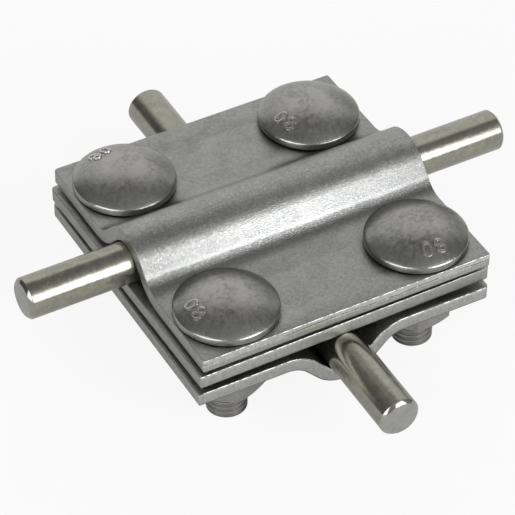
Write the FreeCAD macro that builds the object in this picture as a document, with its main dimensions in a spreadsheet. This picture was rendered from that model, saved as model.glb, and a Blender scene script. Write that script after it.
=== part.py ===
"""Cross connector: two round conductors crossed at right angles and clamped between three plates.

Frame: X along the upper conductor, Y along the lower one, Z up through the bolts.
The origin is on the surface that the four bolt tips stand on, midway between the bolts.
All lengths are in millimetres.
"""

import FreeCAD
import Part
import Sketcher
import math
import os

document = FreeCAD.newDocument("cross_connector")

# Driving sizes: name, value, meaning
SIZES = [
    ("SheetThickness", 2.7, "sheet that all three plates are cut from"),
    ("CornerRadius", 0.6, "rounding of a plate's four corners in plan"),
    ("PlateGap", 1.2, "gap left between neighbouring plates once clamped"),
    ("ConductorDiameter", 8.0, "round conductor"),
    ("ConductorClearance", 0.05, "gap between a conductor and what grips it"),
    ("UpperConductorLength", 100.0, "sample length clamped on top"),
    ("LowerConductorLength", 100.0, "sample length clamped below"),
    ("UpperConductorShift", -0.5, "middle of the upper sample along X"),
    ("LowerConductorShift", 0.5, "middle of the lower sample along Y"),
    ("ConductorChamfer", 0.6, "broken edge at a conductor's ends"),
    ("CrownRelief", 1.0, "how much larger the groove's crown radius is than the conductor's"),
    ("FlankAngle", 47.0, "slope of the groove's flanks in degrees"),
    ("BendRadius", 2.4, "bend on the outer side, from a flank into the flange"),
    ("SeatGap", 0.024, "gap between the foot of that bend and the flat seat of a bolt's head"),
    ("HeadMargin", 0.15, "sheet left between a head and the plate's edge"),
    ("BoltDiameter", 8.0, "thread's outer diameter"),
    ("BoltLength", 24.2, "from under the head to the tip"),
    ("TipChamfer", 0.7, "bevel of the bolt's tip"),
    ("HeadDiameter", 19.7, "mushroom head"),
    ("HeadHeight", 4.6, "mushroom head, from its seat to the top of its dome"),
    ("RimHeight", 1.8, "straight rim below the dome"),
    ("RimBevel", 0.7, "broken edge under the rim, round the flat seat"),
    ("NeckWidth", 8.4, "side of the square neck"),
    ("NeckHeight", 5.0, "length of the square neck"),
    ("NeckCornerBevel", 0.6, "broken corners of the square neck"),
    ("NeckClearance", 0.2, "gap on each side of the neck in its square hole"),
    ("HoleClearance", 0.5, "radial gap of the bolt in a round hole"),
    ("NutWidth", 13.0, "hexagon nut, across flats"),
    ("NutHeight", 6.5, "hexagon nut"),
    ("NutBearingWidth", 12.3, "circle at which the bevel of the nut's corners starts"),
    ("NutBevelAngle", 30.0, "slope of that bevel in degrees"),
    ("NutBevelOverrun", 0.4, "how far that cut is carried past the corners"),
    ("ThreadClearance", 0.05, "radial gap between bolt and nut"),
    ("FrontLeftNutTurn", 20.0, "angle at which this nut was left, in degrees"),
    ("FrontRightNutTurn", 6.0, "angle at which this nut was left, in degrees"),
    ("BackLeftNutTurn", 41.0, "angle at which this nut was left, in degrees"),
    ("BackRightNutTurn", 27.0, "angle at which this nut was left, in degrees"),
]

sizes = document.addObject("Spreadsheet::Sheet", "Sizes")
for row, (name, value, meaning) in enumerate(SIZES, start=1):
    sizes.set(f"A{row}", name)
    sizes.set(f"B{row}", str(value))
    sizes.set(f"C{row}", meaning)
    sizes.setAlias(f"B{row}", name)
document.recompute()

# Levels above the bolt tips
UPPER_FACE = "Sizes.BoltLength"
MIDDLE_TOP = f"({UPPER_FACE} - Sizes.SheetThickness - Sizes.PlateGap)"
MIDDLE_UNDERSIDE = f"({MIDDLE_TOP} - Sizes.SheetThickness)"
LOWER_FACE = f"({MIDDLE_UNDERSIDE} - Sizes.PlateGap - Sizes.SheetThickness)"

# The groove that a pressed plate wraps round its conductor, measured from the flange's outer face
GRIP_RADIUS = "(Sizes.ConductorDiameter / 2 + Sizes.ConductorClearance)"
CROWN_INSIDE = "(Sizes.ConductorDiameter / 2 + Sizes.CrownRelief)"
CROWN_OUTSIDE = f"({CROWN_INSIDE} + Sizes.SheetThickness)"
CROWN_TOP = f"(2 * {GRIP_RADIUS} - Sizes.PlateGap)"
CROWN_CENTRE = f"({CROWN_TOP} - {CROWN_OUTSIDE})"
SLOPE = "Sizes.FlankAngle * 1deg"
FLANK_REACH = f"({CROWN_OUTSIDE} + Sizes.BendRadius + ({CROWN_CENTRE} - Sizes.BendRadius) * cos({SLOPE}))"
GROOVE_FOOT = f"({FLANK_REACH} / sin({SLOPE}))"

# The heads stand close against the groove, and the plates end close beyond them
HALF_PITCH = f"({GROOVE_FOOT} + Sizes.SeatGap + Sizes.HeadDiameter / 2 - Sizes.RimBevel)"
HALF_PLATE = f"({HALF_PITCH} + Sizes.HeadDiameter / 2 + Sizes.HeadMargin)"
PLATE_WIDTH = f"(2 * {HALF_PLATE})"

# The dome of a head, in flat bands that stay within 0.1 mm of a sphere
DOME_BANDS = 3
DOME_RISE = "(Sizes.HeadHeight - Sizes.RimHeight)"
DOME_RADIUS = f"(((Sizes.HeadDiameter / 2) ^ 2 + {DOME_RISE} ^ 2) / (2 * {DOME_RISE}))"
DOME_ANGLE = f"asin(Sizes.HeadDiameter / 2 / {DOME_RADIUS})"

# Sizes that mate with the bolts
HALF_NECK = "(Sizes.NeckWidth / 2)"
HALF_NECK_HOLE = "(Sizes.NeckWidth / 2 + Sizes.NeckClearance)"
BOLT_RADIUS = "(Sizes.BoltDiameter / 2)"
BOLT_HOLE_RADIUS = f"({BOLT_RADIUS} + Sizes.HoleClearance)"
NUT_BORE_RADIUS = f"({BOLT_RADIUS} + Sizes.ThreadClearance)"
NUT_CORNER_RADIUS = "(Sizes.NutWidth / sqrt(3))"

# Quarters of the connector: name, side of X and side of Y
QUARTERS = [("front_left", -1, -1), ("front_right", 1, -1), ("back_left", -1, 1), ("back_right", 1, 1)]

# A sketch's own axes and origin, and the points of a line or arc, as the sketcher numbers them
SKETCH_X_AXIS, SKETCH_Y_AXIS = range(-1, -3, -1)
START, END, CENTRE = range(1, 4)
SKETCH_ORIGIN = (SKETCH_X_AXIS, START)

TINY = 1e-4


def number(expression):
    """What an expression over the sheet is worth, for a sketch's first guess and for finding edges."""
    return float(sizes.evalExpression(expression))


def new_body(label):
    body = document.addObject("PartDesign::Body", label)
    body.Label = label
    return body


def origin_feature(body, role):
    return next(feature for feature in body.Origin.OriginFeatures if feature.Role == role)


def new_sketch(body, name, plane):
    sketch = body.newObject("Sketcher::SketchObject", f"{body.Label}_{name}")
    sketch.AttachmentSupport = (origin_feature(body, plane), [""])
    sketch.MapMode = "FlatFace"
    return sketch


def constrain(sketch, kind, *elements):
    return sketch.addConstraint(Sketcher.Constraint(kind, *elements))


def bind(sketch, kind, elements, expression):
    """Add a dimension and tie it to an expression over the sheet."""
    value = number(expression)
    if kind == "Angle":
        value = math.radians(value)
    index = constrain(sketch, kind, *elements, value)
    sketch.setExpression(f"Constraints[{index}]", expression)


def bind_point(sketch, element, point, across, up):
    """Tie a point of a sketch to two expressions, measured from the sketch's origin."""
    for kind, axis, expression in (("DistanceX", SKETCH_Y_AXIS, across), ("DistanceY", SKETCH_X_AXIS, up)):
        value = number(expression)
        if abs(value) < TINY:
            constrain(sketch, "PointOnObject", element, point, axis)
        elif value > 0:
            bind(sketch, kind, (*SKETCH_ORIGIN, element, point), expression)
        else:
            bind(sketch, kind, (element, point, *SKETCH_ORIGIN), f"-({expression})")


def polygon(sketch, corners):
    """A closed outline of straight lines, with every corner given by two expressions."""
    places = [FreeCAD.Vector(number(across), number(up), 0) for across, up in corners]
    following = places[1:] + places[:1]
    lines = [sketch.addGeometry(Part.LineSegment(a, b)) for a, b in zip(places, following)]
    for line, next_line in zip(lines, lines[1:] + lines[:1]):
        constrain(sketch, "Coincident", line, END, next_line, START)
    for line, (across, up) in zip(lines, corners):
        bind_point(sketch, line, START, across, up)


def square(sketch, half, middle="0"):
    """A square whose half side and whose middle, the same along both axes, are expressions."""
    low, high = f"({middle} - {half})", f"({middle} + {half})"
    polygon(sketch, [(low, low), (high, low), (high, high), (low, high)])


def circle(sketch, radius, middle="0"):
    place = FreeCAD.Vector(number(middle), number(middle), 0)
    ring = sketch.addGeometry(Part.Circle(place, FreeCAD.Vector(0, 0, 1), number(radius)))
    bind_point(sketch, ring, CENTRE, middle, middle)
    bind(sketch, "Radius", (ring,), radius)


def pad(body, sketch, length, side="One side", downward=False):
    feature = body.newObject("PartDesign::Pad", f"{sketch.Name}_pad")
    feature.Profile = sketch
    feature.SideType = side
    feature.Reversed = downward
    feature.setExpression("Length", length)
    document.recompute()
    return feature


def drill_through(body, sketch):
    feature = body.newObject("PartDesign::Pocket", f"{sketch.Name}_pocket")
    feature.Profile = sketch
    feature.Type = "ThroughAll"
    document.recompute()
    return feature


def turn(body, kind, sketch):
    """A revolution or a groove, a full turn about the body's Z axis."""
    feature = body.newObject(f"PartDesign::{kind}", f"{sketch.Name}_turned")
    feature.Profile = sketch
    feature.ReferenceAxis = (origin_feature(body, "Z_Axis"), [""])
    feature.Angle = 360
    document.recompute()
    return feature


def dress(body, kind, wanted, size):
    """A fillet or a chamfer on those edges of the body for which wanted(shape, edge) is true."""
    base = body.Tip
    shape = base.Shape
    edges = [(f"Edge{index}", edge) for index, edge in enumerate(shape.Edges, start=1)]
    names = [name for name, edge in edges if not edge.Degenerated and wanted(shape, edge)]
    feature = body.newObject(f"PartDesign::{kind}", f"{base.Name}_{kind.lower()}")
    feature.Base = (base, names)
    feature.setExpression("Radius" if kind == "Fillet" else "Size", size)
    document.recompute()
    return feature


def upright_at(half):
    """Finds the upright edges whose distance from both axes is the expression half."""
    distance = number(half)

    def wanted(shape, edge):
        box = edge.BoundBox
        upright = box.XLength < TINY and box.YLength < TINY
        at_corner = abs(abs(box.XMin) - distance) < TINY and abs(abs(box.YMin) - distance) < TINY
        return upright and at_corner

    return wanted


def place(body, x="0", y="0", z="0", rotation=None, turned=None):
    body.Placement.Rotation = rotation or FreeCAD.Rotation(FreeCAD.Vector(0, 0, 1), 0)
    for letter, expression in (("x", x), ("y", y), ("z", z)):
        body.setExpression(f"Placement.Base.{letter}", expression)
    if turned:
        body.setExpression("Placement.Rotation.Angle", turned)


def groove_outline(sketch):
    """The section of a pressed plate: flange, bend, flank, crown, flank, bend and flange.

    The flange's outer face is on the sketch's X axis. Every arc is drawn twice about one centre,
    once for each side of the sheet, so the thickness is the same all the way across.
    """
    half, thickness = number(HALF_PLATE), number("Sizes.SheetThickness")
    bend, slope = number("Sizes.BendRadius"), math.radians(number("Sizes.FlankAngle"))
    crown_centre = FreeCAD.Vector(0, number(CROWN_CENTRE), 0)
    crown_radius = number(CROWN_OUTSIDE)
    bend_centres = [FreeCAD.Vector(side * number(GROOVE_FOOT), bend, 0) for side in (-1, 1)]
    normal = FreeCAD.Vector(0, 0, 1)
    up = FreeCAD.Vector(0, 1, 0)
    leaning = [FreeCAD.Vector(side * math.sin(slope), math.cos(slope), 0) for side in (-1, 1)]
    down_angle, half_turn = 1.5 * math.pi, math.pi / 2

    def line(start, end):
        return sketch.addGeometry(Part.LineSegment(start, end))

    def arc(centre, radius, first, last):
        return sketch.addGeometry(Part.ArcOfCircle(Part.Circle(centre, normal, radius), first, last))

    def side_of_sheet(depth):
        """One side of the sheet, this far below its outer face, from left to right."""
        rim = [FreeCAD.Vector(side * half, -depth, 0) for side in (-1, 1)]
        foot = [centre - up * (bend + depth) for centre in bend_centres]
        bent = [centre - lean * (bend + depth) for centre, lean in zip(bend_centres, leaning)]
        crown = [crown_centre + lean * (crown_radius - depth) for lean in leaning]
        return [
            line(rim[0], foot[0]),
            arc(bend_centres[0], bend + depth, down_angle, down_angle + slope),
            line(bent[0], crown[0]),
            arc(crown_centre, crown_radius - depth, half_turn - slope, half_turn + slope),
            line(crown[1], bent[1]),
            arc(bend_centres[1], bend + depth, down_angle - slope, down_angle),
            line(foot[1], rim[1]),
        ]

    outer, inner = side_of_sheet(0), side_of_sheet(thickness)
    drop = up * thickness
    ends = []
    for side in (-1, 1):
        corner = FreeCAD.Vector(side * half, 0, 0)
        ends.append(line(corner, corner - drop))
    joins = [(END, START), (END, START), (END, END), (START, START), (END, START), (END, START)]
    for chain in (outer, inner):
        for element, following, (leaves, enters) in zip(chain, chain[1:], joins):
            constrain(sketch, "Tangent", element, leaves, following, enters)
        constrain(sketch, "Horizontal", chain[0])
        constrain(sketch, "Horizontal", chain[-1])
    for end, flange, tip in ((ends[0], 0, START), (ends[1], -1, END)):
        constrain(sketch, "Vertical", end)
        constrain(sketch, "Coincident", outer[flange], tip, end, START)
        constrain(sketch, "Coincident", inner[flange], tip, end, END)
    constrain(sketch, "Equal", *ends)
    for index in (1, 3, 5):
        constrain(sketch, "Coincident", outer[index], CENTRE, inner[index], CENTRE)
    constrain(sketch, "Symmetric", outer[0], START, outer[-1], END, SKETCH_Y_AXIS)
    constrain(sketch, "PointOnObject", outer[0], START, SKETCH_X_AXIS)
    constrain(sketch, "Equal", outer[1], outer[5])
    bind(sketch, "DistanceX", (outer[0], START, outer[-1], END), PLATE_WIDTH)
    bind(sketch, "Distance", (ends[0],), "Sizes.SheetThickness")
    bind(sketch, "Radius", (outer[1],), "Sizes.BendRadius")
    bind(sketch, "Radius", (outer[3],), CROWN_OUTSIDE)
    bind(sketch, "Radius", (inner[3],), CROWN_INSIDE)
    bind_point(sketch, outer[3], CENTRE, "0", CROWN_CENTRE)
    bind(sketch, "Angle", (outer[2],), "Sizes.FlankAngle")
    bind(sketch, "Angle", (outer[4],), "-Sizes.FlankAngle")


def bolt_holes(body, outline, half):
    """One hole at a quarter of the plate, repeated on the other three."""
    sketch = new_sketch(body, "hole", "XY_Plane")
    outline(sketch, half, HALF_PITCH)
    hole = drill_through(body, sketch)
    pattern = body.newObject("PartDesign::PolarPattern", f"{body.Label}_holes")
    pattern.Originals = [hole]
    pattern.Axis = (origin_feature(body, "Z_Axis"), [""])
    pattern.Angle = 360
    pattern.Occurrences = 4
    body.Tip = pattern
    document.recompute()


def finish_plate(body, outline, half):
    """What every plate gets once its sheet is formed: rounded corners and four holes."""
    dress(body, "Fillet", upright_at(HALF_PLATE), "Sizes.CornerRadius")
    bolt_holes(body, outline, half)


def pressed_plate(label, outline, half):
    """A plate with a groove pressed along its own X axis, seen from outside as a ridge."""
    body = new_body(label)
    sketch = new_sketch(body, "section", "YZ_Plane")
    groove_outline(sketch)
    pad(body, sketch, PLATE_WIDTH, side="Symmetric")
    finish_plate(body, outline, half)
    return body


def flat_plate(label):
    """The plate between the conductors, its own origin on its upper face."""
    body = new_body(label)
    sketch = new_sketch(body, "outline", "XY_Plane")
    square(sketch, HALF_PLATE)
    pad(body, sketch, "Sizes.SheetThickness", downward=True)
    finish_plate(body, square, HALF_NECK_HOLE)
    return body


def conductor(label, length):
    """A straight piece of round conductor along its own X axis."""
    body = new_body(label)
    sketch = new_sketch(body, "section", "YZ_Plane")
    circle(sketch, "(Sizes.ConductorDiameter / 2)")
    pad(body, sketch, length, side="Symmetric")
    dress(body, "Chamfer", lambda shape, edge: isinstance(edge.Curve, Part.Circle), "Sizes.ConductorChamfer")
    return body


def bolt_outline(sketch):
    """Half of the bolt's section: dome, rim, seat, shank, bevelled tip and axis."""
    corners = []
    for band in range(DOME_BANDS + 1):
        angle = f"{DOME_ANGLE} * {band} / {DOME_BANDS}"
        fall = f"{DOME_RADIUS} * (1 - cos({angle}))"
        corners.append((f"({DOME_RADIUS} * sin({angle}))", f"(Sizes.HeadHeight - {fall})"))
    corners += [
        ("(Sizes.HeadDiameter / 2)", "Sizes.RimBevel"),
        ("(Sizes.HeadDiameter / 2 - Sizes.RimBevel)", "0"),
        (BOLT_RADIUS, "0"),
        (BOLT_RADIUS, "(Sizes.TipChamfer - Sizes.BoltLength)"),
        (f"({BOLT_RADIUS} - Sizes.TipChamfer)", "-Sizes.BoltLength"),
        ("0", "-Sizes.BoltLength"),
    ]
    polygon(sketch, corners)


def bolt(label):
    """A mushroom head bolt with a square neck, its own origin on the head's seat."""
    body = new_body(label)
    sketch = new_sketch(body, "half_section", "XZ_Plane")
    bolt_outline(sketch)
    turn(body, "Revolution", sketch)
    neck = new_sketch(body, "neck", "XY_Plane")
    square(neck, HALF_NECK)
    pad(body, neck, "Sizes.NeckHeight", downward=True)
    dress(body, "Chamfer", upright_at(HALF_NECK), "Sizes.NeckCornerBevel")
    return body


def hexagon(sketch, corner_radius):
    """A hexagon about the sketch's origin, held by a construction circle through its corners."""
    ring = sketch.addGeometry(Part.Circle(FreeCAD.Vector(), FreeCAD.Vector(0, 0, 1), number(corner_radius)), True)
    bind_point(sketch, ring, CENTRE, "0", "0")
    bind(sketch, "Radius", (ring,), corner_radius)
    reach = number(corner_radius)
    angles = [math.radians(60 * index) for index in range(6)]
    places = [FreeCAD.Vector(reach * math.cos(angle), reach * math.sin(angle), 0) for angle in angles]
    sides = [sketch.addGeometry(Part.LineSegment(a, b)) for a, b in zip(places, places[1:] + places[:1])]
    for side, following in zip(sides, sides[1:] + sides[:1]):
        constrain(sketch, "Coincident", side, END, following, START)
        constrain(sketch, "PointOnObject", side, START, ring)
    for side in sides[1:]:
        constrain(sketch, "Equal", sides[0], side)
    constrain(sketch, "Horizontal", sides[1])


def bevel_outline(sketch):
    """The triangle that a lathe takes off the corners of the nut's outer face."""
    start = "(Sizes.NutBearingWidth / 2)"
    outside = f"({NUT_CORNER_RADIUS} + Sizes.NutBevelOverrun)"
    rise = f"(({outside} - {start}) * tan(Sizes.NutBevelAngle * 1deg))"
    bottom = "-Sizes.NutHeight"
    polygon(sketch, [(start, bottom), (outside, bottom), (outside, f"({bottom} + {rise})")])


def nut(label):
    """A hexagon nut, its own origin on the face that meets the plate."""
    body = new_body(label)
    sketch = new_sketch(body, "hexagon", "XY_Plane")
    hexagon(sketch, NUT_CORNER_RADIUS)
    pad(body, sketch, "Sizes.NutHeight", downward=True)
    bevel = new_sketch(body, "bevel", "XZ_Plane")
    bevel_outline(bevel)
    turn(body, "Groove", bevel)
    bore = new_sketch(body, "bore", "XY_Plane")
    circle(bore, NUT_BORE_RADIUS)
    drill_through(body, bore)
    return body


# The lower plate is the same pressing turned over and given a quarter turn
turned_over = FreeCAD.Rotation(FreeCAD.Vector(1, 1, 0), 180)
quarter_turn = FreeCAD.Rotation(FreeCAD.Vector(0, 0, 1), 90)

top_plate = pressed_plate("top_plate", square, HALF_NECK_HOLE)
place(top_plate, z=UPPER_FACE)

middle_plate = flat_plate("middle_plate")
place(middle_plate, z=MIDDLE_TOP)

bottom_plate = pressed_plate("bottom_plate", circle, BOLT_HOLE_RADIUS)
place(bottom_plate, z=LOWER_FACE, rotation=turned_over)

upper_conductor = conductor("upper_conductor", "Sizes.UpperConductorLength")
place(upper_conductor, x="Sizes.UpperConductorShift", z=f"({MIDDLE_TOP} + {GRIP_RADIUS})")

lower_conductor = conductor("lower_conductor", "Sizes.LowerConductorLength")
lower_axis = f"({MIDDLE_UNDERSIDE} - {GRIP_RADIUS})"
place(lower_conductor, y="Sizes.LowerConductorShift", z=lower_axis, rotation=quarter_turn)

for quarter, side_x, side_y in QUARTERS:
    x, y = f"{side_x} * {HALF_PITCH}", f"{side_y} * {HALF_PITCH}"
    place(bolt(f"bolt_{quarter}"), x=x, y=y, z=UPPER_FACE)
    turned = f"Sizes.{quarter.title().replace('_', '')}NutTurn"
    place(nut(f"nut_{quarter}"), x=x, y=y, z=LOWER_FACE, turned=turned)

document.recompute()

for item in document.Objects:
    if "Invalid" in item.State or "Error" in item.State:
        raise SystemExit(f"{item.Label} failed: {item.State}")

os.makedirs("parts", exist_ok=True)
bodies = [item for item in document.Objects if item.TypeId == "PartDesign::Body"]
for body in bodies:
    shape = body.Shape
    if shape.isNull() or not shape.isValid() or len(shape.Solids) != 1:
        raise SystemExit(f"{body.Label} isn't one valid solid")
for body in bodies:
    body.Shape.exportStep(f"parts/{body.Label}.step")
    box = body.Shape.BoundBox
    print(f"{body.Label}: {body.Shape.Volume:.1f} mm3, z {box.ZMin:.3f} to {box.ZMax:.3f}")
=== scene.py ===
import math

import bmesh
import bpy
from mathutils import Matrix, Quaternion, Vector


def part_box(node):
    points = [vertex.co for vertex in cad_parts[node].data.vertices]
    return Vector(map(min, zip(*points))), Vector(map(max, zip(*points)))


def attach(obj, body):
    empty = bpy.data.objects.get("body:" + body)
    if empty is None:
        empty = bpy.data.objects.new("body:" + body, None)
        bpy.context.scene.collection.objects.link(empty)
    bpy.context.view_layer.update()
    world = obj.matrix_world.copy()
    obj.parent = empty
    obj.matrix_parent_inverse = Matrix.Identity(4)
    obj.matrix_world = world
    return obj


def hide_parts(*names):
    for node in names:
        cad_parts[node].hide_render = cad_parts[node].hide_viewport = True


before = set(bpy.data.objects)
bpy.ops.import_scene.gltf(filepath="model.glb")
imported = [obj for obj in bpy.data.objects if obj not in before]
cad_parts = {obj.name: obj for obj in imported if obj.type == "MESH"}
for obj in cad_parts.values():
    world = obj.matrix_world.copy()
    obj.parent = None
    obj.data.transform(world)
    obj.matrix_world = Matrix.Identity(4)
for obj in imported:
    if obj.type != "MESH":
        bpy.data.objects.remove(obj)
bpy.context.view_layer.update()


# Top and bottom plate: one pressing, used twice. Stainless sheet is blanked square, a groove for the
# conductor is pressed across it and the bolt holes are punched. The lot is then tumbled, which rolls
# the sheared edges and leaves a dull grain. The bottom one is turned over and given a quarter turn.
top_low, top_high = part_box("top_plate")
bottom_low, bottom_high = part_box("bottom_plate")
middle_low, middle_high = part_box("middle_plate")
SHEET = middle_high.z - middle_low.z
HALF_PLATE = top_high.x
TOP_FACE = top_low.z + SHEET                # the top plate's flat face
BOTTOM_FACE = bottom_high.z - SHEET         # the bottom plate's flat face, which looks down
CROWN = 0.0077                              # outer radius over the conductor
CROWN_CENTRE = top_high.z - CROWN
BEND = 0.0054                               # outer radius where the groove leaves the flat
FLANK = math.radians(47)                    # slope of the groove's sides
FLANK_START = TOP_FACE + BEND * (1 - math.cos(FLANK))
FLANK_RISE = CROWN_CENTRE + CROWN * math.cos(FLANK) - FLANK_START
FLANK_RUN = FLANK_RISE / math.tan(FLANK)
GROOVE_FOOT = (CROWN + BEND) * math.sin(FLANK) + FLANK_RUN
TOP_CORNERS = {                             # how far each corner is worn round, by its side in x and y
    (-1, -1): 0.00018,
    (1, -1): 0.0003,
    (-1, 1): 0.0008,
    (1, 1): 0.0004,
}
BOTTOM_CORNERS = {                          # the same, before the plate is turned over
    (-1, -1): 0.00018,
    (1, -1): 0.001,
    (-1, 1): 0.0009,
    (1, 1): 0.0004,
}
EDGE_ROLL = 0.0002                          # what the tumbling takes off an edge
BOLT_PLACES = {
    name: (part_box(name)[0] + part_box(name)[1]) / 2
    for name in ("bolt_front_left", "bolt_front_right", "bolt_back_left", "bolt_back_right")
}
SQUARE_HOLE = 0.0088
HOLE_CORNER = 0.0006
ROUND_HOLE = 0.0096
PUNCH_LENGTH = HALF_PLATE                   # more than the stack of plates is high
SHARP = 35                                  # from this angle on, in degrees, an edge is sharp
NEAR = 1e-6                                 # closer than this is the same place


def begin(add, name, **place):
    """Adds a primitive with nothing else selected, fixes its place and opens it for shaping."""
    bpy.ops.object.select_all(action="DESELECT")
    add(**place)
    piece = bpy.context.object
    piece.name = piece.data.name = name
    bpy.ops.object.transform_apply(location=True, rotation=True, scale=True)
    bpy.ops.object.mode_set(mode="EDIT")
    return piece


def choose(kind, test):
    """Selects the vertices, edges or faces whose middle and normal or direction pass a test."""
    bpy.ops.mesh.select_mode(type=kind)
    bpy.ops.mesh.select_all(action="DESELECT")
    data = bpy.context.object.data
    shape = bmesh.from_edit_mesh(data)
    if kind == "FACE":
        for face in shape.faces:
            face.select_set(test(face.calc_center_median(), face.normal))
    elif kind == "EDGE":
        for edge in shape.edges:
            one, other = (vert.co for vert in edge.verts)
            edge.select_set(test((one + other) / 2, (other - one).normalized()))
    else:
        for vert in shape.verts:
            vert.select_set(test(vert.co, vert.normal))
    bmesh.update_edit_mesh(data)


def extrude(y=0.0, z=0.0):
    """Extrudes what is selected by a step back and up."""
    bpy.ops.mesh.extrude_region_move(TRANSFORM_OT_translate={"value": (0, y, z)})


def pick(piece):
    """Makes a piece the only one selected, and the active one."""
    bpy.ops.object.select_all(action="DESELECT")
    piece.select_set(True)
    bpy.context.view_layer.objects.active = piece


def apply_modifier(piece, kind, **settings):
    """Adds a modifier to a piece and applies it."""
    pick(piece)
    modifier = piece.modifiers.new(kind.title(), kind)
    for name, value in settings.items():
        setattr(modifier, name, value)
    bpy.ops.object.modifier_apply(modifier=modifier.name)


def cut(piece, tool, operation="DIFFERENCE"):
    """Cuts a piece with a tool, which is used up, and dissolves what is left with no size."""
    apply_modifier(piece, "BOOLEAN", operation=operation, object=tool, solver="EXACT")
    bpy.data.meshes.remove(tool.data)
    bpy.ops.object.mode_set(mode="EDIT")
    bpy.ops.mesh.select_all(action="SELECT")
    bpy.ops.mesh.dissolve_degenerate(threshold=NEAR)
    bpy.ops.object.mode_set(mode="OBJECT")


def roll_edges(piece, width, steps=3):
    """Rounds every sharp edge, and smooths the shading over the others."""
    angle = math.radians(SHARP)
    apply_modifier(piece, "BEVEL", width=width, segments=steps, limit_method="ANGLE", angle_limit=angle)
    bpy.ops.object.shade_smooth_by_angle(angle=angle)


def copy_of(piece, name):
    """A copy with its own mesh."""
    twin = piece.copy()
    twin.data = piece.data.copy()
    twin.name = twin.data.name = name
    bpy.context.scene.collection.objects.link(twin)
    return twin


def fix_place(piece):
    """Moves a piece's place, turn and scale into its mesh."""
    pick(piece)
    bpy.ops.object.transform_apply(location=True, rotation=True, scale=True)


def punch_holes(piece, width, round_holes=False):
    """Punches the four bolt holes, square ones for the bolts' necks or round ones for their shanks."""
    for place in BOLT_PLACES.values():
        middle = (place.x, place.y, (bottom_low.z + top_high.z) / 2)
        if round_holes:
            punch = begin(
                bpy.ops.mesh.primitive_cylinder_add, "punch",
                vertices=48, radius=width / 2, depth=PUNCH_LENGTH, location=middle,
            )
        else:
            punch = begin(bpy.ops.mesh.primitive_cube_add, "punch", size=width, location=middle)
            bpy.ops.transform.resize(value=(1, 1, PUNCH_LENGTH / width))
            choose("EDGE", lambda middle, along: abs(along.z) > 0.9)
            bpy.ops.mesh.bevel(offset=HOLE_CORNER, segments=4)
        bpy.ops.object.mode_set(mode="OBJECT")
        cut(piece, punch)


def round_corners(piece, corners):
    """Rounds a plate's four upright corners, each by its own radius."""
    pick(piece)
    bpy.ops.object.mode_set(mode="EDIT")
    reach = HALF_PLATE - NEAR
    for (right, back), radius in corners.items():
        choose(
            "EDGE",
            lambda middle, along: abs(along.z) > 0.9 and middle.x * right > reach and middle.y * back > reach,
        )
        bpy.ops.mesh.bevel(offset=radius, segments=5)
    bpy.ops.object.mode_set(mode="OBJECT")


def place_plate(piece, size, slip, turn):
    """Gives a plate its own trimmed size in x and y, and the place and turn in which it was tightened."""
    piece.scale = (size[0] / (2 * HALF_PLATE), size[1] / (2 * HALF_PLATE), 1)
    fix_place(piece)
    piece.location.xy = slip
    piece.rotation_euler.z = math.radians(turn)
    fix_place(piece)


pressing = begin(bpy.ops.mesh.primitive_plane_add, "pressing", size=2 * HALF_PLATE, location=(0, 0, TOP_FACE))
choose("EDGE", lambda middle, along: middle.y > HALF_PLATE / 2)
bpy.ops.transform.translate(value=(0, -GROOVE_FOOT - HALF_PLATE, 0))
bpy.ops.mesh.spin(steps=8, angle=-FLANK, center=(0, -GROOVE_FOOT, TOP_FACE + BEND), axis=(1, 0, 0))
extrude(y=FLANK_RUN, z=FLANK_RISE)
bpy.ops.mesh.spin(steps=28, angle=2 * FLANK, center=(0, 0, CROWN_CENTRE), axis=(1, 0, 0))
extrude(y=FLANK_RUN, z=-FLANK_RISE)
bpy.ops.mesh.spin(steps=8, angle=-FLANK, center=(0, GROOVE_FOOT, TOP_FACE + BEND), axis=(1, 0, 0))
extrude(y=HALF_PLATE - GROOVE_FOOT)
bpy.ops.object.mode_set(mode="OBJECT")
apply_modifier(pressing, "SOLIDIFY", thickness=SHEET, offset=-1, use_even_offset=True)

top_plate = copy_of(pressing, "top_plate_pressed")
bottom_plate = copy_of(pressing, "bottom_plate_pressed")
round_corners(top_plate, TOP_CORNERS)
round_corners(bottom_plate, BOTTOM_CORNERS)
bottom_plate.rotation_euler = (math.pi, 0, math.pi / 2)
bottom_plate.location.z = TOP_FACE + BOTTOM_FACE
fix_place(bottom_plate)
bpy.data.meshes.remove(pressing.data)
punch_holes(top_plate, SQUARE_HOLE)
punch_holes(bottom_plate, ROUND_HOLE, round_holes=True)


def groove_depth(across, height):
    """How deep a point lies in the top plate's sheet, given its place across the groove."""
    beside = abs(across) - CROWN * math.sin(FLANK)
    above = height - CROWN_CENTRE - CROWN * math.cos(FLANK)
    down_flank = beside * math.cos(FLANK) - above * math.sin(FLANK)
    if down_flank < 0:
        return CROWN - math.hypot(across, height - CROWN_CENTRE)
    if down_flank < FLANK_RISE / math.sin(FLANK):
        return -beside * math.sin(FLANK) - above * math.cos(FLANK)
    if abs(across) < GROOVE_FOOT:
        return math.hypot(abs(across) - GROOVE_FOOT, height - TOP_FACE - BEND) - BEND
    return TOP_FACE - height


def note_depth(piece, depth_at):
    """Keeps how deep each point lies in the sheet, so that the finish can follow the sheared edges."""
    layer = piece.data.attributes.new("depth", "FLOAT", "POINT")
    for vert, place in zip(piece.data.vertices, layer.data):
        place.value = min(max(depth_at(vert.co) / SHEET, 0), 1)


for plate in (top_plate, bottom_plate):
    roll_edges(plate, EDGE_ROLL)
note_depth(top_plate, lambda co: groove_depth(co.y, co.z))
note_depth(bottom_plate, lambda co: SHEET - groove_depth(co.x, TOP_FACE + BOTTOM_FACE - co.z))
place_plate(bottom_plate, size=(0.061, 0.0597), slip=(-0.0003, -0.0003), turn=-0.3)


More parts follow.
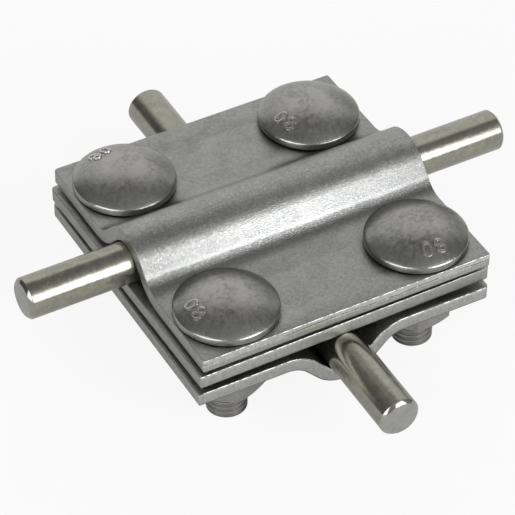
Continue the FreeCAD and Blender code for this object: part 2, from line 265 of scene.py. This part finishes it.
class Wire:
    """One output of a shader node, which adds, subtracts and multiplies like a number."""

    def __init__(self, tree, socket=None):
        self.tree = tree
        self.socket = socket

    def node(self, kind, settings=None, sockets=None, output=0):
        """Adds a node: its settings first, then the values or links of its sockets."""
        made = self.tree.nodes.new(kind)
        for name, value in (settings or {}).items():
            setattr(made, name, value)
        for name, value in (sockets or {}).items():
            if isinstance(value, Wire):
                self.tree.links.new(value.socket, made.inputs[name])
            else:
                made.inputs[name].default_value = value
        return Wire(self.tree, made.outputs[output] if made.outputs else None)

    def math(self, operation, *others):
        """Maths on this value, and on others with it."""
        return self.node("ShaderNodeMath", {"operation": operation}, dict(enumerate((self, *others))))

    def __add__(self, other):
        return self.math("ADD", other)

    __radd__ = __add__

    def __mul__(self, other):
        return self.math("MULTIPLY", other)

    __rmul__ = __mul__

    def __sub__(self, other):
        return self.math("SUBTRACT", other)

    def __rsub__(self, other):
        return self * -1 + other

    def vector(self, operation, other=(0, 0, 0), output=0):
        """Vector maths on this vector, and on another with it."""
        return self.node("ShaderNodeVectorMath", {"operation": operation}, {0: self, 1: other}, output)

    def length(self):
        """The length of this vector."""
        return self.vector("LENGTH", output="Value")

    def part(self, axis):
        """One coordinate of this vector."""
        return self.node("ShaderNodeSeparateXYZ", None, {0: self}, "XYZ".index(axis))

    def fade(self, start, end):
        """Rises smoothly from 0 at start to 1 at end."""
        return self.node(
            "ShaderNodeMapRange",
            {"interpolation_type": "SMOOTHSTEP"},
            {"Value": self, "From Min": start, "From Max": end},
        )

    def band(self, start, full, fading, end):
        """0 up to start, 1 from full to fading, and 0 again from end on."""
        return self.fade(start, full) * (1 - self.fade(fading, end))

    def mix(self, zero, one):
        """The colour zero where this mask is 0, and the colour one where it is 1."""
        return self.node("ShaderNodeMix", {"data_type": "RGBA"}, {0: self, 6: zero, 7: one}, 2)

    def noise(self, size, detail, stretch=(1, 1, 1)):
        """Cloudy pattern over this point, with spots of a size in metres."""
        place = self.vector("MULTIPLY", stretch) if stretch != (1, 1, 1) else self
        return place.node("ShaderNodeTexNoise", None, {"Vector": place, "Scale": 1 / size, "Detail": detail})

    def cells(self, size):
        """A random value for each small facet of a size in metres."""
        return self.node("ShaderNodeTexVoronoi", None, {"Vector": self, "Scale": 1 / size}, "Color").part("X")

    def kept(self, name, output):
        """What note_depth or note_place keeps on the mesh."""
        return self.node("ShaderNodeAttribute", {"attribute_name": name}, None, output)


def steel(name, paint):
    """A bare stainless finish. paint turns the point on the piece into colour, roughness and relief."""
    material = bpy.data.materials.new(name)
    material.use_nodes = True
    material.node_tree.nodes.clear()
    start = Wire(material.node_tree)
    colour, roughness, relief = paint(start.node("ShaderNodeTexCoord", output="Object"))
    normal = start.node("ShaderNodeBump", None, {"Strength": 1.0, "Distance": 1.0, "Height": relief})
    surface = start.node(
        "ShaderNodeBsdfPrincipled",
        None,
        {"Metallic": 1.0, "Base Color": colour, "Roughness": roughness, "Normal": normal},
    )
    start.node("ShaderNodeOutputMaterial", None, {"Surface": surface})
    return material


def sheet_finish(point):
    """Dull sparkling grain all over, with the sheared edges told by their depth in the sheet."""
    x, y, z = (point.part(axis) for axis in "XYZ")
    grain = point.noise(0.00022, 2)
    fleck = point.noise(0.0007, 3)
    cloud = point.noise(0.005, 5)
    facet = point.cells(0.00036)
    depth = point.kept("depth", "Fac")
    left = 1 - x.fade(0.0003 - HALF_PLATE, 0.0008 - HALF_PLATE)
    front = 1 - y.fade(0.0003 - HALF_PLATE, 0.0008 - HALF_PLATE)
    uppermost = z.fade(TOP_FACE - SHEET * 1.2, TOP_FACE - SHEET)
    lowermost = 1 - z.fade(BOTTOM_FACE, BOTTOM_FACE + SHEET)
    lower_two = 1 - z.fade(middle_high.z, TOP_FACE - SHEET)
    sheared = depth.band(0.06, 0.1, 0.9, 0.94)

    # the flat faces' grain, with glints on the ridge
    tone = (cloud * 0.5 + fleck * 0.3 + grain * 0.2).fade(0.35, 0.65) * 0.45 + facet * 0.55
    colour = tone.mix((0.265, 0.267, 0.257, 1), (0.42, 0.421, 0.403, 1))
    ridge = z.fade(TOP_FACE + 0.001, TOP_FACE + 0.003)
    glint = point.cells(0.0003).fade(0.8, 1.0) * ridge
    colour = (glint * 0.45).mix(colour, (0.6, 0.6, 0.59, 1))

    # the front bend of the ridge, rubbed grey by the press and darkened with painted shade, with painted
    # sparkle glints in it, and a painted highlight along the crease where the flank starts
    on_front = z + (fleck - 0.5) * 0.0003 + (cloud - 0.5) * 0.0005
    on_front = on_front * (1 - y.fade(-0.001, 0.001))
    up_flank = on_front - FLANK_START
    bend_wear_and_shade = on_front.fade(TOP_FACE + 0.0001, TOP_FACE + 0.0009) * (1 - up_flank.fade(0, 0.0004))
    colour = (bend_wear_and_shade * 0.62).mix(colour, (0.1, 0.1, 0.096, 1))
    spark = point.cells(0.00024).fade(0.7, 1.0) * bend_wear_and_shade * up_flank.fade(-0.0014, -0.0002)
    colour = (spark * 0.4).mix(colour, (0.55, 0.55, 0.53, 1))
    crease_highlight = up_flank.band(0.0001, 0.0003, 0.0005, 0.001)
    colour = (crease_highlight * 0.3).mix(colour, (0.55, 0.55, 0.54, 1))

    # the sheared front sides, burnished where the blade went in and torn below
    upright = point.noise(0.0004, 3, (1, 1, 0.2))
    burnished = 1 - (depth - uppermost * 0.36 - fleck * 0.08).fade(0.1, 0.2)
    streaks = (upright * 0.6 + fleck * 0.4).fade(0.35, 0.65) * 0.6 + facet * 0.4
    torn_colour = streaks.mix((0.38, 0.382, 0.366, 1), (0.54, 0.542, 0.52, 1))
    smooth_colour = streaks.mix((0.51, 0.512, 0.49, 1), (0.69, 0.692, 0.665, 1))
    colour = (sheared * front).mix(colour, burnished.mix(torn_colour, smooth_colour))

    # the two lower plates' left edges: a painted highlight strip on top, and a painted shade line where the
    # edge rolls over, standing in for the underside of the plate above mirrored in it
    left_edge_highlight = (1 - x.fade(0.0004 - HALF_PLATE, 0.0016 - HALF_PLATE)) * (1 - depth.fade(0.001, 0.01))
    left_edge_highlight = left_edge_highlight * (1 - y.fade(-0.015, 0.02))
    colour = (left_edge_highlight * lower_two * 0.55).mix(colour, (0.8, 0.8, 0.78, 1))
    rolled_edge_shade = depth.band(0.004, 0.02, 0.05, 0.09) * left
    colour = (rolled_edge_shade * lower_two * 0.85).mix(colour, (0.05, 0.05, 0.047, 1))

    # painted shade along the lower edges, and a painted highlight along the front ones' rolled upper edge,
    # where it is also worn bright
    lower_edge_shade = depth.fade(0.9, 0.94) * (left + lowermost).math("MINIMUM", 1)
    colour = (lower_edge_shade * 0.7).mix(colour, (0.1, 0.1, 0.095, 1))
    worn_edge_highlight = depth.band(0, 0.015, 0.05, 0.075) * point.noise(0.0009, 3).fade(0.46, 0.52) * front
    colour = worn_edge_highlight.mix(colour, (0.85, 0.85, 0.83, 1))

    # the dark tear that wanders along the top plate's front side, and painted sparkle glints beside it
    top_side = sheared * front * uppermost
    wander = depth - point.noise(0.012, 2) * 0.6
    tear = wander.band(0.05, 0.08, 0.11, 0.14) * top_side
    tear = tear * (point.noise(0.007, 3) * 0.8 + fleck * 0.2).fade(0.46, 0.5)
    colour = (tear * 0.85).mix(colour, (0.04, 0.04, 0.037, 1))
    side_glint = point.cells(0.00045).fade(0.86, 0.92) * wander.band(-0.05, 0.05, 0.2, 0.3) * top_side
    colour = (side_glint * 0.5).mix(colour, (0.85, 0.85, 0.83, 1))

    roughness = 0.285 + fleck * 0.06 + sheared * 0.08
    relief = grain * 0.00006 + sheared * upright * 0.00004
    return colour, roughness, relief


sheet_steel = steel("tumbled sheet", sheet_finish)
for plate, node, body in (
    (top_plate, "top_plate", "clamp_top"),
    (bottom_plate, "bottom_plate", "clamp_bottom"),
):
    plate.data.materials.append(sheet_steel)
    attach(plate, body)
    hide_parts(node)


# Middle plate: a flat square of the same sheet between the two conductors, punched with square holes
# that keep the bolts' necks from turning. They are a little wider, so that the plate can slip.
MIDDLE_HOLE = 0.0098
MIDDLE_CORNERS = {
    (-1, -1): 0.0002,
    (1, -1): 0.0007,
    (-1, 1): 0.0009,
    (1, 1): 0.0004,
}
middle_plate = begin(
    bpy.ops.mesh.primitive_plane_add, "middle_plate_flat", size=2 * HALF_PLATE, location=(0, 0, middle_low.z)
)
bpy.ops.mesh.select_all(action="SELECT")
extrude(z=SHEET)
bpy.ops.mesh.select_all(action="SELECT")
bpy.ops.mesh.normals_make_consistent(inside=False)
bpy.ops.object.mode_set(mode="OBJECT")
round_corners(middle_plate, MIDDLE_CORNERS)
punch_holes(middle_plate, MIDDLE_HOLE)
roll_edges(middle_plate, EDGE_ROLL)
note_depth(middle_plate, lambda co: middle_high.z - co.z)
place_plate(middle_plate, size=(0.0609, 0.0595), slip=(-0.00022, 0.0002), turn=0.36)
middle_plate.data.materials.append(sheet_steel)
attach(middle_plate, "clamp_bottom")
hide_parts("middle_plate")


# Conductors: two straight pieces of drawn stainless rod, bright and smooth along their length, with
# their ends cut square and chamfered on a lathe. The clamp only holds them by friction.
ROD_RADIUS = (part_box("upper_conductor")[1].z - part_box("upper_conductor")[0].z) / 2
ROD_CHAMFER = 0.0006
ROD_EDGE = 0.0001                           # how far the chamfer's two edges are worn
TOOL_STEP = 0.00022                         # from ring to ring on the turned ends


def note_place(piece, centre):
    """Keeps each point's place on the straight piece, so that the finish can follow its shape."""
    layer = piece.data.attributes.new("on_piece", "FLOAT_VECTOR", "POINT")
    for vert, place in zip(piece.data.vertices, layer.data):
        place.vector = vert.co - centre


def rod(name, node, spare_low, spare_high, slip, turn):
    """A piece of round rod in the place of its node, chamfered at both ends and cut with some to spare."""
    low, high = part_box(node)
    length = max(high - low)
    along_x = high.x - low.x == length
    piece = begin(
        bpy.ops.mesh.primitive_cylinder_add, name,
        vertices=96, radius=ROD_RADIUS, depth=length, location=(low + high) / 2,
        rotation=(0, math.pi / 2, 0) if along_x else (math.pi / 2, 0, 0),
    )
    axis = 0 if along_x else 1
    for end, spare in ((low, -spare_low), (high, spare_high)):
        choose("VERT", lambda place, normal: abs(place[axis] - end[axis]) < NEAR)
        bpy.ops.transform.translate(value=(spare, 0, 0) if along_x else (0, spare, 0))
    choose("EDGE", lambda middle, along: abs(along[axis]) < 0.1)
    bpy.ops.mesh.bevel(offset=ROD_CHAMFER, segments=1)
    bpy.ops.object.mode_set(mode="OBJECT")
    roll_edges(piece, ROD_EDGE, steps=2)
    note_place(piece, (low + high) / 2)
    piece.location.xy = slip
    piece.rotation_euler.z = math.radians(turn)
    fix_place(piece)
    return piece


def rod_finish(point):
    """Drawn bright, clouded a little by handling."""
    haze = point.noise(0.002, 4)
    speck = point.noise(0.0003, 2)
    tone = haze.fade(0.3, 0.7) * 0.5 + point.cells(0.00035) * 0.5
    colour = tone.mix((0.295, 0.291, 0.243, 1), (0.415, 0.41, 0.343, 1))
    return colour, 0.16 + haze * 0.1, speck * 0.000008 + haze * 0.00003


def turned_finish(flat, end_light):
    """The finish of a rod's turned ends: fine rings, faint rays round its axis painted as a highlight, and a
    painted brightness for how the light falls on that end.
    """

    def paint(point):
        out = point.kept("on_piece", "Vector").vector("MULTIPLY", flat)
        reach = out.length()
        rings = (reach * (2 * math.pi / TOOL_STEP) + point.noise(0.004, 2) * 3).math("SINE")
        smear = point.noise(0.0015, 4)
        ray = out.vector("NORMALIZE").vector("MULTIPLY", (ROD_RADIUS / 2,) * 3).noise(0.0009, 3)
        tone = smear.fade(0.3, 0.7) * 0.5 + ray.fade(0.35, 0.65) * 0.5
        colour = (tone * 0.2 + 0.8).mix((0, 0, 0, 1), (end_light, end_light * 0.99, end_light * 0.94, 1))
        cone = reach.fade(ROD_RADIUS - ROD_CHAMFER - 0.0001, ROD_RADIUS - ROD_CHAMFER)
        return colour, 0.28 - cone * 0.16, (rings * 0.0000035 + smear * 0.00003) * (1 - cone)

    return paint


rod_steel = steel("drawn rod", rod_finish)
upper_rod = rod(
    "upper_rod", "upper_conductor", spare_low=0.0007, spare_high=0.0003, slip=(0, 0.0001), turn=0.12
)
lower_rod = rod(
    "lower_rod", "lower_conductor", spare_low=0.0004, spare_high=0, slip=(-0.00029, 0), turn=-0.5
)
# each rod's turned ends get their own painted brightness, for how the light falls on them
for piece, node, body, flat, end_light in (
    (upper_rod, "upper_conductor", "upper_sliding", (0, 1, 1), 0.4),
    (lower_rod, "lower_conductor", "lower_sliding", (1, 0, 1), 0.48),
):
    turned_steel = steel("turned end of " + piece.name.replace("_", " "), turned_finish(flat, end_light))
    piece.data.materials.append(rod_steel)
    piece.data.materials.append(turned_steel)
    along = Vector((1, 1, 1)) - Vector(flat)
    for face in piece.data.polygons:
        face.material_index = 1 if abs(face.normal.dot(along)) > 0.5 else 0
    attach(piece, body)
    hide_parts(node)


# Bolts: four M8 mushroom head bolts with a square neck, cold headed from stainless wire. The thread is
# rolled, and the heading die leaves a small raised number on each head.
BOLT_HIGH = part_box("bolt_front_left")[1].z
HEAD_RADIUS = (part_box("bolt_front_left")[1].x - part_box("bolt_front_left")[0].x) / 2
HEAD_LIFT = 0.0002                          # the rims bear on the groove's bends
HEAD_SEAT = TOP_FACE + HEAD_LIFT
HEAD_RIM = 0.00135
HEAD_RISE = BOLT_HIGH - TOP_FACE - HEAD_RIM
HEAD_TOP = BOLT_HIGH + HEAD_LIFT
DOME_RADIUS = (HEAD_RADIUS ** 2 + HEAD_RISE ** 2) / (2 * HEAD_RISE)
DOME_BANDS = 14
RIM_ROUND = 0.0003                          # the rim's upper edge
RIM_UNDER = 0.0003                          # and its lower one
NECK = 0.0084                               # width of the square neck
NECK_HEIGHT = 0.005
NECK_OVERLAP = 0.0005                       # how far it reaches up into the head
THREAD_RADIUS = 0.004
PITCH = 0.00125
THREAD_DEPTH = 0.000767
THREAD_TURNS = 12
THREAD_STEPS = 48
TURNS_BELOW = 1.1                           # turns that are made under the tip and cut off
THREAD_TOP = 0.0135                         # where the thread ends and the plain shank starts
TIP_CHAMFER = 0.0009
MARKS = {                                   # at which angle the number stands on each head, in degrees
    "bolt_front_left": 182,
    "bolt_front_right": -93,
    "bolt_back_left": 107,
    "bolt_back_right": 197,
}
MARK_RADIUS = 0.0068                        # from the bolt's axis to the number
MARK_SIZE = 0.0042
MARK_PITCH = 0.0027                         # from one digit to the next
MARK_HEIGHT = 0.00016
MARK_BEVEL = 0.00008
MARK_SUNK = 0.00006                         # how deep a digit's middle sits in the dome


def unite(piece, other):
    """Welds another piece to this one."""
    cut(piece, other, "UNION")


bolt = begin(
    bpy.ops.mesh.primitive_cylinder_add, "bolt",
    vertices=128, radius=HEAD_RADIUS, depth=HEAD_RIM, location=(0, 0, HEAD_SEAT + HEAD_RIM / 2),
)
choose("FACE", lambda middle, normal: normal.z > 0.9)
radius, height = HEAD_RADIUS, HEAD_SEAT + HEAD_RIM
for band in range(DOME_BANDS - 1, 0, -1):
    angle = math.asin(HEAD_RADIUS / DOME_RADIUS) * band / DOME_BANDS
    ring = DOME_RADIUS * math.sin(angle)
    level = HEAD_TOP - DOME_RADIUS * (1 - math.cos(angle))
    extrude(z=level - height)
    bpy.ops.transform.resize(value=(ring / radius, ring / radius, 1))
    radius, height = ring, level
bpy.ops.mesh.poke()
choose("VERT", lambda place, normal: place.xy.length < NEAR)
bpy.ops.transform.translate(value=(0, 0, HEAD_TOP - height))
choose(
    "EDGE",
    lambda middle, along: abs(along.z) < 0.01
    and middle.xy.length > HEAD_RADIUS * 0.99
    and middle.z > HEAD_SEAT + HEAD_RIM / 2,
)
bpy.ops.mesh.bevel(offset=RIM_ROUND, segments=4)
choose("EDGE", lambda middle, along: middle.xy.length > HEAD_RADIUS * 0.99 and middle.z < HEAD_SEAT + NEAR)
bpy.ops.mesh.bevel(offset=RIM_UNDER, segments=4)
bpy.ops.object.mode_set(mode="OBJECT")

neck = begin(
    bpy.ops.mesh.primitive_cube_add, "neck", size=NECK, location=(0, 0, TOP_FACE + NECK_OVERLAP - NECK / 2)
)
choose("VERT", lambda place, normal: normal.z < 0)
bpy.ops.transform.translate(value=(0, 0, NECK - NECK_OVERLAP - NECK_HEIGHT))
choose("EDGE", lambda middle, along: abs(along.z) > 0.9)
bpy.ops.mesh.bevel(offset=HOLE_CORNER, segments=3)
bpy.ops.object.mode_set(mode="OBJECT")
unite(bolt, neck)

thread = begin(bpy.ops.mesh.primitive_circle_add, "thread", vertices=5, radius=THREAD_RADIUS)
crest, flank = PITCH / 8, THREAD_DEPTH * math.tan(math.radians(30))
shape = bmesh.from_edit_mesh(thread.data)
shape.verts.ensure_lookup_table()
profile = (
    (THREAD_RADIUS, 0),
    (THREAD_RADIUS, crest),
    (THREAD_RADIUS - THREAD_DEPTH, crest + flank),
    (THREAD_RADIUS - THREAD_DEPTH, PITCH - flank),
    (THREAD_RADIUS, PITCH),
)
for vert, (out, up) in zip(shape.verts, profile):
    vert.co = (out, 0, up)
bmesh.update_edit_mesh(thread.data)
choose("EDGE", lambda middle, along: middle.x > THREAD_RADIUS - NEAR and abs(middle.z - PITCH / 2) < NEAR)
bpy.ops.mesh.delete(type="EDGE")
bpy.ops.mesh.select_all(action="SELECT")
bpy.ops.mesh.screw(steps=THREAD_STEPS, turns=THREAD_TURNS, center=(0, 0, 0), axis=(0, 0, -1))
bpy.ops.mesh.select_all(action="SELECT")
bpy.ops.mesh.remove_doubles(threshold=NEAR)
bpy.ops.transform.translate(value=(0, 0, (THREAD_TURNS - TURNS_BELOW) * PITCH))
for level, outwards in ((0, -1), (THREAD_TOP, 1)):
    bpy.ops.mesh.select_all(action="SELECT")
    bpy.ops.mesh.bisect(
        plane_co=(0, 0, level), plane_no=(0, 0, outwards), use_fill=True, clear_outer=True, threshold=1e-7
    )
bpy.ops.mesh.select_all(action="SELECT")
bpy.ops.mesh.normals_make_consistent(inside=False)
bpy.ops.object.mode_set(mode="OBJECT")

blank = begin(
    bpy.ops.mesh.primitive_cylinder_add, "blank",
    vertices=64, radius=THREAD_RADIUS, depth=2 * THREAD_TOP, location=(0, 0, THREAD_TOP),
)
choose("EDGE", lambda middle, along: middle.z < NEAR)
bpy.ops.mesh.bevel(offset=TIP_CHAMFER, segments=1)
bpy.ops.object.mode_set(mode="OBJECT")
cut(thread, blank, "INTERSECT")
shank = begin(
    bpy.ops.mesh.primitive_cylinder_add, "shank",
    vertices=64, radius=THREAD_RADIUS - THREAD_DEPTH / 2, depth=TOP_FACE - THREAD_TOP,
    location=(0, 0, (TOP_FACE + THREAD_TOP) / 2),
)
bpy.ops.object.mode_set(mode="OBJECT")
unite(thread, shank)
unite(bolt, thread)
bpy.ops.object.shade_smooth_by_angle(angle=math.radians(SHARP))


def raised_digit(digit, azimuth):
    """One raised digit on the dome, its foot towards the rim, at an angle round the head."""
    bpy.ops.object.select_all(action="DESELECT")
    bpy.ops.object.text_add()
    piece = bpy.context.object
    piece.data.body = digit
    piece.data.align_x = piece.data.align_y = "CENTER"
    piece.data.size = MARK_SIZE
    piece.data.extrude = MARK_HEIGHT
    piece.data.bevel_depth = MARK_BEVEL
    piece.data.bevel_resolution = 1
    piece.data.resolution_u = 4
    bpy.ops.object.convert(target="MESH")
    piece = bpy.context.object
    slope = math.asin(MARK_RADIUS / DOME_RADIUS)
    piece.rotation_euler = (slope, 0, azimuth + math.pi / 2)
    piece.location = (
        MARK_RADIUS * math.cos(azimuth),
        MARK_RADIUS * math.sin(azimuth),
        HEAD_TOP - DOME_RADIUS * (1 - math.cos(slope)) - MARK_SUNK,
    )
    fix_place(piece)
    bpy.ops.object.mode_set(mode="EDIT")
    bpy.ops.mesh.select_all(action="SELECT")
    bpy.ops.mesh.remove_doubles(threshold=NEAR)
    bpy.ops.mesh.normals_make_consistent(inside=False)
    bpy.ops.object.mode_set(mode="OBJECT")
    return piece


def bolt_finish(point):
    """Tumbled: a rough, cloudy crown where the wire was cut, and faint streaks out to the rim."""
    on_bolt = point.kept("on_piece", "Vector")
    flat = on_bolt.vector("MULTIPLY", (1, 1, 0))
    reach = flat.length() * (1 / HEAD_RADIUS)
    up_rim = (on_bolt.part("Z") - HEAD_SEAT) * (1 / HEAD_RIM)
    outwards = flat.vector("NORMALIZE").vector("MULTIPLY", (HEAD_RADIUS,) * 3)
    streak = outwards.vector("ADD", flat.vector("MULTIPLY", (0.25, 0.25, 0))).noise(0.0009, 3)
    cloud = point.noise(0.005, 4)
    mottle = point.noise(0.0009, 6)
    grain = point.noise(0.00025, 2)
    facet = point.cells(0.00042)
    dome = up_rim.fade(0.8, 1.0)
    # the rim's upright side, which gets painted shade below
    side = reach.fade(0.97, 0.99) * (1 - up_rim.fade(0.6, 0.85))
    rim = reach.fade(0.8, 1.0) * dome
    crown = (1 - (reach + (cloud - 0.5) * 0.8).fade(0.35, 0.85)) * dome
    patch = (mottle * 0.6 + cloud * 0.4).fade(0.42, 0.58) * crown
    wire_end = reach.band(0.16, 0.3, 0.34, 0.5) * cloud.fade(0.42, 0.58)
    from_middle = on_bolt.vector("SUBTRACT", (0, 0, HEAD_TOP - DOME_RADIUS))
    proud = from_middle.length().fade(DOME_RADIUS + 0.00003, DOME_RADIUS + 0.00009)
    tip = 1 - on_bolt.part("Z").fade(0.0055, 0.0065)

    tone = (streak * 0.4 + mottle * 0.35 + cloud * 0.25).fade(0.35, 0.65) * 0.55 + facet * 0.45
    colour = tone.mix((0.235, 0.237, 0.226, 1), (0.39, 0.385, 0.363, 1))
    colour = (patch * 0.85).mix(colour, (0.45, 0.435, 0.405, 1))
    colour = (wire_end * 0.5).mix(colour, (0.47, 0.46, 0.435, 1))
    colour = (rim * 0.5).mix(colour, (0.43, 0.425, 0.4, 1))
    # painted shade on the rim's upright side
    colour = (side * 0.4).mix(colour, (0.22, 0.22, 0.21, 1))
    colour = (tip * 0.7).mix(colour, (0.5, 0.495, 0.48, 1))
    colour = proud.mix(colour, (0.5, 0.49, 0.47, 1))

    roughness = 0.28 + patch * 0.12 + streak * 0.04 - proud * 0.08 - rim * 0.06
    relief = grain * 0.00002 + streak * 0.000012 + cloud * 0.00005
    relief = relief + mottle * (crown * 0.00003 + rim * 0.00004)
    return colour, roughness, relief


bolt_steel = steel("tumbled bolt", bolt_finish)
bolt.data.materials.append(bolt_steel)
for node, place in BOLT_PLACES.items():
    piece = copy_of(bolt, node.replace("bolt", "mushroom_bolt"))
    for digit, side in (("0", -0.5), ("8", 0.5)):
        unite(piece, raised_digit(digit, math.radians(MARKS[node]) + side * MARK_PITCH / MARK_RADIUS))
    bpy.ops.object.shade_smooth_by_angle(angle=math.radians(SHARP))
    note_place(piece, Vector())
    piece.location = (place.x, place.y, 0)
    fix_place(piece)
    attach(piece, "clamp_top")
    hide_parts(node)
bpy.data.meshes.remove(bolt.data)


# Nuts: four M8 hexagon nuts, cold formed and tapped, with the corners turned off on both faces. Each
# was left at the angle where it came tight.
NUT_WIDTH = 0.013                           # across the flats
NUT_CORNER = NUT_WIDTH / math.sqrt(3)
NUT_BORE = 0.00405
NUT_COUNTERSINK = 0.0044
NUT_FACE = 0.00615                          # radius at which the turned corners start
NUT_SHARP = 25                              # the turned corners make edges of 30 degrees
nut_low, nut_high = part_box("nut_front_left")
NUT_HEIGHT = nut_high.z - nut_low.z
NUT_MIDDLE = (nut_high.z + nut_low.z) / 2


def flared_tool(name, radius, end_radius, rise, spare=0):
    """A round tool as high as the nut, with a cone at both ends and a straight piece to spare beyond it."""
    tool = begin(
        bpy.ops.mesh.primitive_cylinder_add, name,
        vertices=96, radius=radius, depth=NUT_HEIGHT - 2 * rise, location=(0, 0, NUT_MIDDLE),
    )
    for up in (1, -1):
        choose("FACE", lambda middle, normal: normal.z * up > 0.9)
        extrude(z=up * rise)
        bpy.ops.transform.resize(value=(end_radius / radius, end_radius / radius, 1))
        if spare:
            extrude(z=up * spare)
    bpy.ops.object.mode_set(mode="OBJECT")
    return tool


nut = begin(
    bpy.ops.mesh.primitive_cylinder_add, "nut",
    vertices=6, radius=NUT_CORNER, depth=NUT_HEIGHT,
    location=(0, 0, NUT_MIDDLE), rotation=(0, 0, -math.pi / 6),
)
bpy.ops.object.mode_set(mode="OBJECT")
outside = NUT_CORNER * 1.02
rise = (outside - NUT_FACE) * math.tan(math.radians(30))
cut(nut, flared_tool("corner_lathe", outside, NUT_FACE, rise), "INTERSECT")
cut(nut, flared_tool("tap", NUT_BORE, NUT_COUNTERSINK, NUT_COUNTERSINK - NUT_BORE, spare=0.001))
bpy.ops.object.shade_smooth_by_angle(angle=math.radians(NUT_SHARP))


def nut_finish(point):
    """Tumbled like the bolts, but plain."""
    grain = point.noise(0.0003, 4)
    cloud = point.noise(0.004, 4)
    colour = (cloud * 0.6 + grain * 0.4).fade(0.3, 0.7).mix((0.30, 0.295, 0.28, 1), (0.40, 0.39, 0.365, 1))
    return colour, 0.28 + cloud * 0.08, grain * 0.00002 + cloud * 0.00005


nut.data.materials.append(steel("tumbled nut", nut_finish))
for node in ("nut_front_left", "nut_front_right", "nut_back_left", "nut_back_right"):
    low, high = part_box(node)
    place = (low + high) / 2
    corner = max(
        (vert.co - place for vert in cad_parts[node].data.vertices), key=lambda reach: reach.xy.length
    )
    piece = copy_of(nut, node.replace("nut", "hexagon_nut"))
    piece.rotation_euler.z = math.atan2(corner.y, corner.x)
    piece.location = (place.x, place.y, 0)
    fix_place(piece)
    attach(piece, node.replace("nut_", "") + "_turning")
    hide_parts(node)
bpy.data.meshes.remove(nut.data)


# Floor: a wide sheet of white paper, which the bolts' tips stand on. It is white to the camera and in
# mirrored light, and keeps a faint shadow.
bpy.ops.object.select_all(action="DESELECT")
bpy.ops.mesh.primitive_circle_add(vertices=64, radius=3, fill_type="NGON", location=(0, 0, 0))
floor = bpy.context.object
floor.name = "paper_floor"
paper = bpy.data.materials.new("white paper")
paper.use_nodes = True
paper.node_tree.nodes.clear()
start = Wire(paper.node_tree)
matt = start.node("ShaderNodeBsdfDiffuse", None, {"Color": (0.78, 0.78, 0.775, 1)})
white = start.node("ShaderNodeEmission", None, {"Color": (1, 1, 1, 1), "Strength": 1.0})
seen = start.node("ShaderNodeLightPath", output="Is Camera Ray")
mirrored = start.node("ShaderNodeLightPath", output="Is Glossy Ray")
through = start.node("ShaderNodeLightPath", output="Is Transmission Ray")
share = (seen * 0.89 + (mirrored + through) * 0.17).math("MINIMUM", 1)
surface = start.node("ShaderNodeMixShader", None, {0: share, 1: matt, 2: white})
start.node("ShaderNodeOutputMaterial", None, {"Surface": surface})
floor.data.materials.append(paper)


# Studio: a pale wall behind with a darker door at its right, a dark ceiling, and two wide soft boxes low
# in front, one to each side of the camera. They draw the bright stripes along the rods and the ridge.
# The right one is a little cool.
world = bpy.data.worlds.new("studio")
bpy.context.scene.world = world
world.use_nodes = True
world.node_tree.nodes.clear()
start = Wire(world.node_tree)
direction = start.node("ShaderNodeTexCoord", output="Generated")
x, y, z = (direction.part(axis) for axis in "XYZ")
from_front = x.math("ARCTAN2", y * -1).math("DEGREES")
from_back = x.math("ARCTAN2", y).math("DEGREES")
height = z.math("ARCSINE").math("DEGREES")


def window(angle, first, last, soft):
    """1 between two angles in degrees and 0 beyond them, with soft sides."""
    return angle.band(first - soft, first + soft, last - soft, last + soft)


wall = window(from_back, -20, 78, 9) * (1 - height.fade(53, 66))
side_door = from_back.fade(40, 46) * (1 - height.fade(20, 27))
wall = wall * (1 - side_door * 0.5)
key = (1 - height.fade(34, 50)) * 0.86 + (1 - height.fade(33, 66)) * 0.14
key = key * window(from_front, 2, 43, 5) * height.fade(5.8, 11.8)
fill = window(from_front, -90, -39, 4) * window(height, 3, 48, 5)
ceiling = 0.14 + height.fade(20, 60) * 0.11 + (y * -1).fade(0, 0.5) * 0.15
brightness = ceiling + wall * 0.68 + key * 5.4 + fill * 2.6
seen = start.node("ShaderNodeLightPath", output="Is Camera Ray")
brightness = brightness * (1 - seen) + seen
tint = (key * (1 - seen)).mix((1, 1, 1, 1), (0.955, 0.965, 1, 1))
surface = start.node("ShaderNodeBackground", None, {"Color": tint, "Strength": brightness})
start.node("ShaderNodeOutputWorld", None, {"Surface": surface})


# Camera: a long lens, from the front left and above, as the photograph was taken. It was fitted to the
# plates' corners, the heads and the conductors.
AZIMUTH = math.radians(-29.523)
ELEVATION = math.radians(42.030)
ROLL = math.radians(0.645)
DISTANCE = 0.59345
TARGET = Vector((-0.008139, -0.010257, TOP_FACE))
FOCAL_PIXELS = 3228
IMAGE_PIXELS = 515
back = Vector(
    (math.sin(AZIMUTH) * math.cos(ELEVATION), -math.cos(AZIMUTH) * math.cos(ELEVATION), math.sin(ELEVATION))
)
lens = bpy.data.cameras.new("camera")
lens.sensor_width = 36
lens.lens = FOCAL_PIXELS / IMAGE_PIXELS * lens.sensor_width
lens.clip_start, lens.clip_end = 0.01, 20
camera = bpy.data.objects.new("camera", lens)
bpy.context.scene.collection.objects.link(camera)
camera.location = TARGET + back * DISTANCE
camera.rotation_mode = "QUATERNION"
camera.rotation_quaternion = back.to_track_quat("Z", "Y") @ Quaternion((0, 0, 1), ROLL)
bpy.context.scene.camera = camera

bpy.context.scene.view_settings.view_transform = "Standard"
